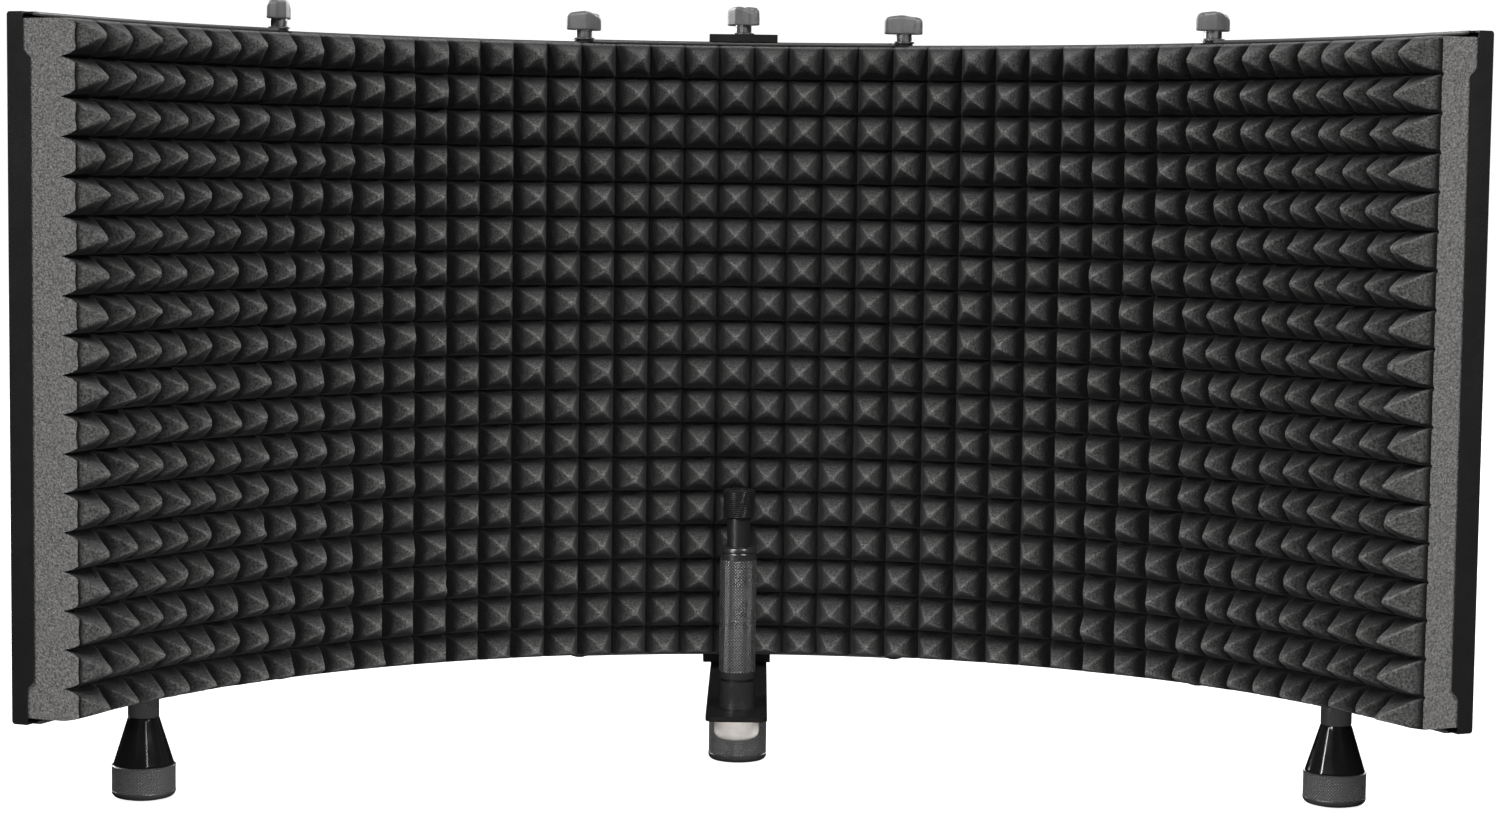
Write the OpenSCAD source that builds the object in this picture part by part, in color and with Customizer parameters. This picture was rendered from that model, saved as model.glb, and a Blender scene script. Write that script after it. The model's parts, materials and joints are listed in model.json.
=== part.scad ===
// Folding microphone isolation shield: five curved steel trays lined with acoustic foam,
// hinged side by side, on a bracket with a stand adapter and a microphone post.
// Frame: origin on the stand thread's axis at its mouth, +Z up, concave side towards -Y.

/* [Panels] */
// Overall height of a tray
panel_h = 328; // [310:1:345]
// Radius of the trays' outer face
wall_r = 369; // [360:1:380]
// Angle that one panel covers
panel_angle = 27; // [26:0.5:28]
// Depth of the tray flanges and end lips
flange_d = 12; // [12:0.5:15]
// Sheet metal thickness
sheet = 1; // [0.8:0.1:1.2]

/* [Foam] */
// Depth of the foam from the tray wall to the tips
foam_d = 49.5; // [36:0.5:52]
// Height of the foam
foam_h = 322; // [300:1:322]
// Inward fold that the foam ends are bevelled for, per hinge
fold_in = 15; // [10:1:18]

/* [Bracket] */
// Width of the bracket strap
strap_w = 36; // [32:1:44]
// Thickness of the bracket strap
strap_t = 4; // [3:0.5:4]
// Width of the arm
arm_w = 30; // [28:1:34]
// Thickness of the arm
arm_t = 2.5; // [2:0.5:3]
// Distance from the stand thread to the arm's front end
arm_front = 127; // [120:1:150]
// Angle that the arm stands off the shield's centre line
arm_turn = 1.8; // [-3:0.1:3]

/* [Post] */
// Distance from the stand thread to the post
post_dist = 99; // [90:1:106]
// Outer diameter of the knurled sleeve
sleeve_d = 18; // [17:0.5:20]
// Outer diameter of the sliding rod
rod_d = 11.5; // [10:0.1:11.5]
// Major radius of the microphone thread, 5/8 inch
mic_thread_r = 7.94;

/* [Stand adapter and feet] */
// Outer diameter of the stand adapter
adapter_d = 30.6; // [28:0.2:34]
// Wall radius of the stand thread, 5/8 inch
stand_thread_r = 7.5;
// Diameter of the feet's grip rings
foot_d = 31; // [28:1:34]

/* [Hidden] */
$fn = 96;
deck_z = 49;                      // underside of the trays
top_z = deck_z + panel_h;         // top face of the trays
arc_y = 50 - wall_r;              // centre of the arc
pivot_r = wall_r - 7;             // hinges, clamp and feet all sit on this radius
pivot_y = arc_y + pivot_r;        // the same, on the centre line
nest = 0.2;                       // air between lapped flanges
step_z = sheet + nest;            // how far the inner trays nest below their neighbours
bend_r = 1.6;                     // outside bend radius of the sheet
end_gap = 1.8;                    // from a tray's end to its hinge line
ear_r = 5;                        // rounded end of a flange, round its hinge
gap_angle = end_gap / pivot_r * 180 / PI;
foam_z = deck_z + (panel_h - foam_h) / 2;
foam_r = wall_r - sheet - 0.3;    // back of the foam
tip_r = wall_r - sheet - foam_d;  // front of the foam
foam_gap = 0.5;                   // half the slit between foam ends, at the hinge line
channel_r = 7;                    // hardware channel through the foam along a hinge
pin_r = 2.5;                      // M5 studs, screws and rivets
hole_r = 2.56;                    // running hole for them
nut_af = 8;                       // across flats, M5
nut_h = 4;
washer_h = 0.8;
knob_neck_r = 4.7;
knob_neck_h = 4;
knob_head_h = 9.4;
knob_l = 20;
knob_blade = 6.4;
slack = 0.05;                     // running gap under a turning piece
arm_z = deck_z - strap_t - arm_t; // underside of the arm
arm_top = arm_z + arm_t;
plain_h = 13.5;                   // plain foot of the post
sleeve_z = arm_top + plain_h + 1; // the 1 is a turned groove
sleeve_h = 65.5;
rod_top = arm_top + 94;           // shoulder under the microphone thread
thread_h = 14;
cap_d = 22;                       // cap nut under the arm
cap_h = 12.7;
socket_h = 20;                    // threaded depth of the stand adapter
ring_h = 16.5;                    // foot ring, with its pad
cone_top = 39.7;                  // where the foot's cone meets its collar
pad_h = 2.6;

// ---- placing ----

// Turns about the arc's centre; positive angles go to +X.
module at_angle(a) translate([0, arc_y, 0]) rotate([0, 0, -a]) children();

// Stands the children on the hinge radius at angle a.
module on_pivot(a) at_angle(a) translate([0, pivot_r, 0]) children();

// Revolves a profile over an angle centred on a.
module sector(a, span) at_angle(a) rotate([0, 0, 90 - span / 2])
  rotate_extrude(angle = span, $fn = 720) children();

// Turns with the arm, about the stand thread.
module on_arm() rotate([0, 0, -arm_turn]) children();

module tube(r_out, r_in, h) difference() {
  cylinder(r = r_out, h = h);
  translate([0, 0, -1]) cylinder(r = r_in, h = h + 2);
}

// ---- trays ----

// Rectangle whose two corners on the far side are rounded.
module back_rounded(r0, r1, z, h, r) {
  translate([r0, z]) square([r1 - r - r0, h]);
  translate([r1 - 2 * r, z + r]) square([2 * r, h - 2 * r]);
  for (y = [z + r, z + h - r]) translate([r1 - r, y]) circle(r);
}

// Cuts the inner corners of an end lip at 45 degrees.
module lip_chamfers(z, h) {
  r = wall_r - flange_d;
  shy = 3.8;
  run = 17;
  for (m = [0, 1]) translate([0, m * (2 * z + h)]) mirror([0, m])
    polygon([[r - 1, z - 1], [r + shy, z - 1], [r + shy, z + run],
      [r, z + run + shy], [r - 1, z + run + shy]]);
}

// left and right say how each side ends: "hinge", open with ears, or "lip", closed by a lip.
module tray(a, z, h, left, right) {
  half = panel_angle / 2;
  lip_span = sheet / wall_r * 180 / PI;
  relief = (sheet + 3.8) / wall_r * 180 / PI;
  sides = [[left, -1], [right, 1]];
  out = [for (e = sides) half - (e[0] == "hinge" ? gap_angle : 0)];
  hollow = [for (e = sides) half + (e[0] == "hinge" ? 1 : -lip_span)];
  difference() {
    union() {
      difference() {
        sector(a + (out[1] - out[0]) / 2, out[0] + out[1])
          back_rounded(wall_r - flange_d, wall_r, z, h, bend_r);
        sector(a + (hollow[1] - hollow[0]) / 2, hollow[0] + hollow[1])
          back_rounded(wall_r - flange_d - 1, wall_r - sheet, z + sheet, h - 2 * sheet, bend_r - sheet);
        for (e = sides) if (e[0] == "lip") sector(a + e[1] * (half + 0.5 - relief / 2), relief + 1)
          lip_chamfers(z, h);
      }
      for (e = sides, k = [z, z + h - sheet]) if (e[0] == "hinge")
        on_pivot(a + e[1] * half) translate([0, 0, k]) cylinder(r = ear_r, h = sheet);
    }
    for (e = sides) if (e[0] == "hinge") on_pivot(a + e[1] * half)
      translate([0, 0, z - 1]) cylinder(r = hole_r, h = h + 2);
  }
}

module outer_tray(a) tray(a, deck_z, panel_h, a < 0 ? "lip" : "hinge", a < 0 ? "hinge" : "lip");

module inner_tray(a) tray(a, deck_z + step_z, panel_h - 2 * step_z, "hinge", "hinge");

module centre_panel() color([0.05, 0.05, 0.055]) difference() {
  tray(0, deck_z, panel_h, "hinge", "hinge");
  translate([0, pivot_y, top_z - 2]) cylinder(r = hole_r, h = 4);
  on_arm() for (x = [-10, 10]) translate([x, pivot_y, deck_z - 1]) cylinder(r = hole_r, h = 3);
}

module inner_left_panel() color([0.05, 0.05, 0.055]) inner_tray(-panel_angle);

module inner_right_panel() color([0.05, 0.05, 0.055]) inner_tray(panel_angle);

module outer_panel(side) color([0.05, 0.05, 0.055]) difference() {
  outer_tray(side * 2 * panel_angle);
  on_pivot(side * 2 * panel_angle) translate([0, 0, deck_z - 1]) cylinder(r = hole_r, h = 3);
}

module outer_left_panel() outer_panel(-1);

module outer_right_panel() outer_panel(1);

// ---- foam ----

// Slit, bevel and hardware channel that part two foam blocks at a hinge.
module foam_joint(a) on_pivot(a) translate([0, 0, foam_z - 1]) linear_extrude(foam_h + 2) {
  run = 60;
  w = foam_gap + run * tan(fold_in / 2);
  circle(channel_r);
  polygon([[-foam_gap, 12], [-foam_gap, 0], [-w, -run], [w, -run], [foam_gap, 0], [foam_gap, 12]]);
}

// Pocket round a nut inside a tray.
module foam_pocket(z) translate([0, 0, z - 5]) cylinder(r = 6, h = 10);

module foam(a, left, right) {
  half = panel_angle / 2;
  inset = (sheet + 0.4) / wall_r * 180 / PI;
  l = left == "lip" ? half - inset : half;
  r = right == "lip" ? half - inset : half;
  difference() {
    sector(a + (r - l) / 2, l + r) translate([tip_r, foam_z]) square([foam_r - tip_r, foam_h]);
    if (left == "hinge") foam_joint(a - half);
    if (right == "hinge") foam_joint(a + half);
  }
}

module centre_foam() color([0.16, 0.16, 0.17]) difference() {
  foam(0, "hinge", "hinge");
  on_pivot(0) foam_pocket(foam_z + foam_h);
  on_arm() for (x = [-10, 10]) translate([x, pivot_y, 0]) foam_pocket(foam_z);
}

module inner_left_foam() color([0.16, 0.16, 0.17]) foam(-panel_angle, "hinge", "hinge");

module inner_right_foam() color([0.16, 0.16, 0.17]) foam(panel_angle, "hinge", "hinge");

module outer_left_foam() color([0.16, 0.16, 0.17]) difference() {
  foam(-2 * panel_angle, "lip", "hinge");
  on_pivot(-2 * panel_angle) foam_pocket(foam_z);
}

module outer_right_foam() color([0.16, 0.16, 0.17]) difference() {
  foam(2 * panel_angle, "hinge", "lip");
  on_pivot(2 * panel_angle) foam_pocket(foam_z);
}

// ---- fasteners ----

module hex_nut(bore) difference() {
  cylinder(r = nut_af / sqrt(3), h = nut_h, $fn = 6);
  translate([0, 0, -1]) cylinder(r = bore, h = nut_h + 2);
}

// Round flat-topped head with a broken edge, standing on z = 0.
module low_head(r, h) rotate_extrude() polygon([[0, 0], [r, 0], [r, h * 0.55], [r * 0.62, h], [0, h]]);

module washer() tube(6, hole_r + 0.1, washer_h);

// ---- bracket ----

// C-shaped strap over the back of the centre panel, extruded along X.
module bracket_strap() color([0.06, 0.06, 0.065]) {
  back = 50.1 + strap_t;
  front = 36;
  low = deck_z - strap_t;
  high = top_z + strap_t;
  r = strap_t + 1;
  difference() {
    translate([-strap_w / 2, 0, 0]) rotate([90, 0, 90]) linear_extrude(strap_w) difference() {
      back_rounded(front, back, low, high - low, r);
      back_rounded(front - 1, 50.1, deck_z, panel_h, 1);
    }
    translate([0, pivot_y, top_z - 1]) cylinder(r = hole_r, h = strap_t + 2);
    on_arm() for (x = [-10, 10]) translate([x, pivot_y, low - 1]) cylinder(r = hole_r, h = strap_t + 2);
  }
}

module clamp_nut() color([0.7, 0.7, 0.72])
  translate([0, pivot_y, top_z - sheet - nut_h]) hex_nut(hole_r);

// Flat arm from under the strap to the front.
module arm() color([0.06, 0.06, 0.065]) {
  r = 5;
  back = 54;
  on_arm() translate([0, 0, arm_z]) difference() {
    linear_extrude(arm_t) {
      translate([-arm_w / 2 + r, -arm_front]) square([arm_w - 2 * r, back + arm_front]);
      translate([-arm_w / 2, -arm_front + r]) square([arm_w, back + arm_front - 2 * r]);
      for (x = [-1, 1], y = [-arm_front + r, back - r]) translate([x * (arm_w / 2 - r), y]) circle(r);
    }
    for (x = [-10, 10]) translate([x, pivot_y, -1]) cylinder(r = hole_r, h = arm_t + 2);
    translate([0, 0, -1]) cylinder(r = 4.06, h = arm_t + 2);
    translate([0, -post_dist, -1]) cylinder(r = 4.06, h = arm_t + 2);
  }
}

module arm_bolts() color([0.2, 0.2, 0.21]) on_arm() for (x = [-10, 10]) translate([x, pivot_y, 0]) {
  translate([0, 0, arm_z]) rotate([180, 0, 0]) low_head(4.6, 2.8);
  translate([0, 0, arm_z - 1]) cylinder(r = pin_r, h = 12.5);
}

module arm_nuts() color([0.7, 0.7, 0.72]) on_arm() for (x = [-10, 10])
  translate([x, pivot_y, deck_z + sheet]) hex_nut(pin_r);

module centre_washers() color([0.75, 0.75, 0.76]) {
  for (a = [-panel_angle / 2, panel_angle / 2]) on_pivot(a) translate([0, 0, top_z]) washer();
  on_pivot(0) translate([0, 0, top_z + strap_t]) washer();
}

module outer_left_washer() color([0.75, 0.75, 0.76])
  on_pivot(-1.5 * panel_angle) translate([0, 0, top_z]) washer();

module outer_right_washer() color([0.75, 0.75, 0.76])
  on_pivot(1.5 * panel_angle) translate([0, 0, top_z]) washer();

// ---- thumb-knobs ----

// Seat height of a knob above its washer.
function seat_z(lift) = top_z + lift + washer_h + slack;

// Two wings set off to either side of the middle, under a domed top.
module knob(a, turn, lift) on_pivot(a) translate([0, 0, seat_z(lift)]) rotate([0, 0, turn]) difference() {
  union() {
    cylinder(r = knob_neck_r, h = knob_neck_h + 1);
    translate([0, 0, knob_neck_h]) intersection() {
      linear_extrude(knob_head_h) for (s = [-1, 1]) rotate([0, 0, s < 0 ? 180 : 0]) {
        translate([0, -1.2]) square([knob_l / 2 - knob_blade / 2, knob_blade]);
        translate([knob_l / 2 - knob_blade / 2, -1.2 + knob_blade / 2]) circle(knob_blade / 2);
        circle(5.4);
      }
      translate([0, 0, knob_head_h - 26]) sphere(r = 26);
    }
  }
  translate([0, 0, -1]) cylinder(r = pin_r, h = knob_neck_h + 5);
}

// Stud from inside the knob's head to just below its nut.
module stud(a, lift) {
  low = top_z - sheet - (lift > 0 ? 0 : step_z) - nut_h - 1;
  on_pivot(a) translate([0, 0, low]) cylinder(r = pin_r, h = seat_z(lift) + knob_neck_h + 4 - low);
}

module centre_knob() color([0.35, 0.35, 0.36]) knob(0, 122, strap_t);

module inner_left_knob() color([0.35, 0.35, 0.36]) knob(-panel_angle / 2, 4, 0);

module inner_right_knob() color([0.35, 0.35, 0.36]) knob(panel_angle / 2, 1, 0);

module outer_left_knob() color([0.35, 0.35, 0.36]) knob(-1.5 * panel_angle, 16, 0);

module outer_right_knob() color([0.35, 0.35, 0.36]) knob(1.5 * panel_angle, 55, 0);

module centre_stud() color([0.7, 0.7, 0.72]) stud(0, strap_t);

module inner_left_stud() color([0.7, 0.7, 0.72]) stud(-panel_angle / 2, 0);

module inner_right_stud() color([0.7, 0.7, 0.72]) stud(panel_angle / 2, 0);

module outer_left_stud() color([0.7, 0.7, 0.72]) stud(-1.5 * panel_angle, 0);

module outer_right_stud() color([0.7, 0.7, 0.72]) stud(1.5 * panel_angle, 0);

// Nuts under the inner trays' top ears.
module hinge_nuts(side) color([0.7, 0.7, 0.72]) for (k = [0.5, 1.5])
  on_pivot(side * k * panel_angle) translate([0, 0, top_z - sheet - step_z - nut_h]) hex_nut(hole_r);

// Rivets through the bottom ears, fixed in the inner trays.
module hinge_rivets(side) color([0.6, 0.6, 0.62]) for (k = [0.5, 1.5])
  on_pivot(side * k * panel_angle) {
    translate([0, 0, deck_z - slack]) rotate([180, 0, 0]) low_head(4.2, 0.8);
    translate([0, 0, deck_z - 1]) cylinder(r = pin_r, h = 1 + step_z + sheet + 0.5);
    translate([0, 0, deck_z + step_z + sheet]) low_head(4.5, 1.5);
  }

module inner_left_nuts() hinge_nuts(-1);

module inner_right_nuts() hinge_nuts(1);

module inner_left_rivets() hinge_rivets(-1);

module inner_right_rivets() hinge_rivets(1);

// ---- microphone post ----

module on_post() on_arm() translate([0, -post_dist, 0]) children();

// Plain foot, then the thin tube inside the sleeve, bored for the rod.
module post_tube() color([0.3, 0.3, 0.31]) on_post() difference() {
  union() {
    translate([0, 0, arm_top]) cylinder(d = sleeve_d - 0.4, h = plain_h);
    translate([0, 0, arm_top]) cylinder(r = 7.3, h = plain_h + sleeve_h - 3);
  }
  translate([0, 0, arm_top + plain_h + 2]) cylinder(d = rod_d + 0.1, h = sleeve_h);
  translate([0, 0, arm_top - 1]) cylinder(r = 4, h = 11);
}

module post_bolt() color([0.7, 0.7, 0.72]) on_post()
  translate([0, 0, arm_z - 8]) cylinder(r = 4, h = 8 + arm_t + 9);

// Domed cap nut under the arm.
module post_cap_nut() color([0.85, 0.83, 0.76]) on_post() translate([0, 0, arm_z - cap_h]) difference() {
  rotate_extrude() intersection() {
    square([cap_d / 2, cap_h]);
    union() {
      square([cap_d / 2 - 3.5, cap_h]);
      translate([0, 3.5]) square([cap_d / 2, cap_h]);
      translate([cap_d / 2 - 3.5, 3.5]) circle(3.5);
    }
  }
  translate([0, 0, cap_h - 9]) cylinder(r = 4, h = 10);
}

// Grip sleeve that turns on the tube, necked in over the rod at its top.
module post_sleeve() color([0.3, 0.3, 0.31]) on_post() translate([0, 0, sleeve_z]) difference() {
  rotate_extrude() polygon([[0, 0], [sleeve_d / 2 - 0.6, 0], [sleeve_d / 2, 0.6],
    [sleeve_d / 2, sleeve_h - 1.2], [sleeve_d / 2 - 1.2, sleeve_h], [0, sleeve_h]]);
  translate([0, 0, -1]) cylinder(r = 7.36, h = sleeve_h - 1.5);
  translate([0, 0, -1]) cylinder(d = rod_d + 0.12, h = sleeve_h + 2);
}

// Sliding rod with the microphone thread on top.
module post_rod() color([0.72, 0.72, 0.74]) on_post() {
  low = arm_top + plain_h + 3;
  translate([0, 0, low]) cylinder(d = rod_d, h = rod_top - low);
  translate([0, 0, rod_top]) cylinder(r = mic_thread_r, h = thread_h);
}

// ---- stand adapter ----

module stand_adapter() color([0.25, 0.25, 0.26]) difference() {
  union() {
    r = adapter_d / 2;
    rotate_extrude() intersection() {
      square([r, 26]);
      union() {
        square([r - 2.5, 26]);
        translate([0, 2.5]) square([r, 22.5]);
        translate([r - 2.5, 2.5]) circle(2.5);
      }
    }
    cylinder(r = 11, h = arm_z - washer_h - slack);
  }
  translate([0, 0, -1]) cylinder(r = stand_thread_r, h = socket_h + 1);
  translate([0, 0, socket_h + 3]) cylinder(r = 4, h = 30);
}

// Shoulder screw that the adapter hangs on and turns with.
module adapter_bolt() color([0.2, 0.2, 0.21]) {
  translate([0, 0, arm_top + slack]) low_head(7, 4.4);
  translate([0, 0, socket_h + 5]) cylinder(r = 4, h = arm_top + 1 - socket_h - 5);
}

module adapter_washer() color([0.75, 0.75, 0.76])
  translate([0, 0, arm_z - washer_h - slack]) tube(12, 4, washer_h);

// ---- feet ----

module on_foot(side) on_pivot(side * 2 * panel_angle) children();

// Cone with a straight collar, screwed up under the tray.
module foot_cone(side) color([0.03, 0.03, 0.03]) on_foot(side) difference() {
  rotate_extrude() polygon([[0, ring_h], [foot_d / 2 - 0.8, ring_h], [7.5, cone_top],
    [7.5, deck_z - slack], [0, deck_z - slack]]);
  translate([0, 0, ring_h + 8]) cylinder(r = pin_r, h = 40);
}

// Grip ring under the cone, rounded at the floor and recessed for its pad.
module foot_ring(side) color([0.3, 0.3, 0.31]) on_foot(side) {
  r = foot_d / 2;
  rotate_extrude() difference() {
    union() {
      translate([0, 0.6]) square([r - 3, ring_h - 0.6]);
      translate([0, 3.6]) square([r, ring_h - 3.6]);
      translate([r - 3, 3.6]) circle(3);
    }
    square([r - 5, pad_h]);
  }
}

module foot_pad(side) color([0.03, 0.03, 0.03]) on_foot(side) cylinder(r = foot_d / 2 - 5, h = pad_h);

module foot_stud(side) color([0.7, 0.7, 0.72]) on_foot(side) translate([0, 0, ring_h + 9])
  cylinder(r = pin_r, h = deck_z + sheet + nut_h + 0.6 - ring_h - 9);

module foot_nut(side) color([0.7, 0.7, 0.72]) on_foot(side) translate([0, 0, deck_z + sheet]) hex_nut(hole_r);

module left_foot_cone() foot_cone(-1);

module left_foot_ring() foot_ring(-1);

module left_foot_pad() foot_pad(-1);

module left_foot_stud() foot_stud(-1);

module left_foot_nut() foot_nut(-1);

module right_foot_cone() foot_cone(1);

module right_foot_ring() foot_ring(1);

module right_foot_pad() foot_pad(1);

module right_foot_stud() foot_stud(1);

module right_foot_nut() foot_nut(1);

centre_panel();
inner_left_panel();
inner_right_panel();
outer_left_panel();
outer_right_panel();
centre_foam();
inner_left_foam();
inner_right_foam();
outer_left_foam();
outer_right_foam();
bracket_strap();
clamp_nut();
arm();
arm_bolts();
arm_nuts();
centre_washers();
outer_left_washer();
outer_right_washer();
centre_knob();
inner_left_knob();
inner_right_knob();
outer_left_knob();
outer_right_knob();
centre_stud();
inner_left_stud();
inner_right_stud();
outer_left_stud();
outer_right_stud();
inner_left_nuts();
inner_right_nuts();
inner_left_rivets();
inner_right_rivets();
post_tube();
post_bolt();
post_cap_nut();
post_sleeve();
post_rod();
stand_adapter();
adapter_bolt();
adapter_washer();
left_foot_cone();
left_foot_ring();
left_foot_pad();
left_foot_stud();
left_foot_nut();
right_foot_cone();
right_foot_ring();
right_foot_pad();
right_foot_stud();
right_foot_nut();
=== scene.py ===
import json
import math

import bmesh
import bpy
import numpy as np
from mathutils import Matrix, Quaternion, Vector


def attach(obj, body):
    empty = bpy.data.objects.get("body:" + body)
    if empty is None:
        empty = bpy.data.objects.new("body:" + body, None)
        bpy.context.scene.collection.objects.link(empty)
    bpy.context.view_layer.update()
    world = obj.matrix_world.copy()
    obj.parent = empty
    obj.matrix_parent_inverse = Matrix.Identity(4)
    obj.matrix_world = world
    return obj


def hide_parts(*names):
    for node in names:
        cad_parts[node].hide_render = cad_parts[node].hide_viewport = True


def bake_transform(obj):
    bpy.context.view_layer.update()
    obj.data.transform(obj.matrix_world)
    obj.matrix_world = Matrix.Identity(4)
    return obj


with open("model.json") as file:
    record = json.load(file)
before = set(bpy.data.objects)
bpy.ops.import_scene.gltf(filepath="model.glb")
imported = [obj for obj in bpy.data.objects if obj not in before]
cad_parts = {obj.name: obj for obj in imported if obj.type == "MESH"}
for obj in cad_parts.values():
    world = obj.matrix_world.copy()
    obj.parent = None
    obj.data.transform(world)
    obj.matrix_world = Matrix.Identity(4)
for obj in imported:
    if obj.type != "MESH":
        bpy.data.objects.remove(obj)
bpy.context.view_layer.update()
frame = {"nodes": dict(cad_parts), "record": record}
NODES = frame["nodes"]
SLOT_OF = {s["node"]: s["material_slot"] for s in frame["record"]["subparts"]}

MM = 0.001
ARC_Y = -0.319                         # centre of the shield's arc, m
PIVOT_R = 0.362                        # hinges, clamp and feet stand on this radius, m
HINGES = (-40.5, -13.5, 13.5, 40.5)    # the hinges' places on the arc, degrees
FOOT_AT = 54                           # the feet's place on the arc, degrees each side
ARM_TURN = math.radians(1.8)           # the arm stands this far off the centre line
POST_DIST = 0.099                      # from the stand thread to the post, m
POST = (-POST_DIST * math.sin(ARM_TURN), -POST_DIST * math.cos(ARM_TURN), 0)
SEED = 11


def on_arc(degrees, radius):
    """x and y of a point of the shield's arc."""
    t = math.radians(degrees)
    return radius * math.sin(t), ARC_Y + radius * math.cos(t)


# ---------------------------------------------------------------- materials

class Graph:
    """A Principled material and short calls for the nodes that feed it."""

    def __init__(self, name):
        self.mat = bpy.data.materials.new(name)
        self.mat.use_nodes = True
        self.nt = self.mat.node_tree
        self.bsdf = self.nt.nodes["Principled BSDF"]
        self.coord = self.nt.nodes.new("ShaderNodeTexCoord").outputs["Object"]

    def put(self, socket, value):
        if hasattr(value, "is_linked"):
            self.nt.links.new(value, socket)
        else:
            socket.default_value = value

    def set(self, **values):
        for name, value in values.items():
            self.put(self.bsdf.inputs[name.replace("_", " ")], value)

    def scaled(self, scale):
        n = self.nt.nodes.new("ShaderNodeMapping")
        self.nt.links.new(self.coord, n.inputs["Vector"])
        n.inputs["Scale"].default_value = scale
        return n.outputs["Vector"]

    def noise(self, scale, detail=3.0, rough=0.6, vector=None):
        n = self.nt.nodes.new("ShaderNodeTexNoise")
        self.nt.links.new(vector or self.coord, n.inputs["Vector"])
        n.inputs["Scale"].default_value = scale
        n.inputs["Detail"].default_value = detail
        n.inputs["Roughness"].default_value = rough
        return n.outputs["Fac"]

    def voronoi(self, scale):
        n = self.nt.nodes.new("ShaderNodeTexVoronoi")
        self.nt.links.new(self.coord, n.inputs["Vector"])
        n.inputs["Scale"].default_value = scale
        return n.outputs["Distance"]

    def attribute(self, name):
        n = self.nt.nodes.new("ShaderNodeAttribute")
        n.attribute_name = name
        return n.outputs["Fac"]

    def span(self, value, low, high, to_low=0.0, to_high=1.0):
        """Value's span from low to high, carried over to another span and clamped there."""
        n = self.nt.nodes.new("ShaderNodeMapRange")
        self.nt.links.new(value, n.inputs["Value"])
        for key, x in (("From Min", low), ("From Max", high), ("To Min", to_low), ("To Max", to_high)):
            n.inputs[key].default_value = x
        return n.outputs["Result"]

    def times(self, a, b):
        n = self.nt.nodes.new("ShaderNodeMath")
        n.operation = "MULTIPLY"
        self.put(n.inputs[0], a)
        self.put(n.inputs[1], b)
        return n.outputs[0]

    def mix(self, fac, a, b):
        n = self.nt.nodes.new("ShaderNodeMix")
        n.data_type = "RGBA"
        fac_socket, a_socket, b_socket = n.inputs[0], n.inputs[6], n.inputs[7]
        self.put(fac_socket, fac)
        self.put(a_socket, a)
        self.put(b_socket, b)
        colour = n.outputs[2]
        return colour

    def bump(self, height, strength, distance, before=None):
        n = self.nt.nodes.new("ShaderNodeBump")
        n.inputs["Strength"].default_value = strength
        n.inputs["Distance"].default_value = distance
        self.nt.links.new(height, n.inputs["Height"])
        if before is not None:
            self.nt.links.new(before, n.inputs["Normal"])
        return n.outputs["Normal"]


def grey(v, warm=0.0):
    return (v * (1 + warm), v, v * (1 - warm), 1.0)


def coat(name, base, rough, peel=1.0, fleck=0.25, spec=0.5, dust=0.0, worn_and_highlit=None):
    """Powder coat or paint: orange peel, fine fleck, patchy gloss, dust, and knurl tops drawn paler, for wear
    and as a painted highlight, if worn_and_highlit is given.
    """
    g = Graph(name)
    patch = g.noise(26.0, 4.0)
    fine = g.noise(2200.0, 2.0)
    colour = g.mix(g.span(fine, 0.35, 0.7), grey(base * (1 - fleck)), grey(base * (1 + fleck)))
    dusty = g.times(g.span(patch, 0.42, 0.72), g.span(g.noise(900.0, 3.0), 0.5, 0.8))
    if worn_and_highlit:
        # knurl and thread crests drawn paler: partly real wear, partly a painted highlight for the glints on
        # the crests
        colour = g.mix(g.span(g.attribute("crest_wear_and_highlight"), 0.45, 0.9), colour, grey(worn_and_highlit))
    g.set(Base_Color=g.mix(g.times(dusty, dust), colour, grey(base * 3 + 0.02, 0.04)),
          Roughness=g.span(g.noise(60.0, 5.0), 0.3, 0.7, rough - 0.06, rough + 0.08),
          Specular_IOR_Level=spec)
    peeled = g.bump(g.noise(1100.0, 2.0, 0.5), 0.35 * peel, 0.00025)
    g.set(Normal=g.bump(fine, 0.25 * peel, 0.0001, peeled))
    return g.mat


def metal(name, base, rough, metallic=1.0, warm=0.0, spots=0.0):
    """Plated or turned metal: fine tool lines, patchy tarnish, specks."""
    g = Graph(name)
    lines = g.noise(1500.0, 2.0, 0.6)
    patch = g.noise(120.0, 5.0, 0.65)
    colour = g.mix(g.span(patch, 0.35, 0.7), grey(base * 0.86, warm), grey(base * 1.06, warm))
    if spots:
        speck = g.span(g.noise(1900.0, 3.0, 0.7), 0.5, 0.66)
        colour = g.mix(g.times(speck, spots), colour, grey(base * 0.7, warm))
    g.set(Base_Color=colour, Metallic=metallic,
          Roughness=g.span(patch, 0.3, 0.75, rough - 0.05, rough + 0.1),
          Normal=g.bump(lines, 0.2, 0.0001))
    return g.mat


def plastic(name, base, rough, grain=0.3, coat_weight=0.0):
    """Moulded plastic: fine spark texture, faint flow marks, handling shine."""
    g = Graph(name)
    spark = g.noise(3000.0, 2.0, 0.6)
    flow = g.noise(220.0, 4.0, 0.6, g.scaled((1, 1, 0.35)))
    g.set(Base_Color=g.mix(g.span(flow, 0.3, 0.7), grey(base * 0.9), grey(base * 1.1)),
          Roughness=g.span(flow, 0.3, 0.7, rough - 0.05, rough + 0.07),
          Normal=g.bump(spark, grain, 0.0001),
          Coat_Weight=coat_weight, Coat_Roughness=0.08)
    return g.mat


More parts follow.
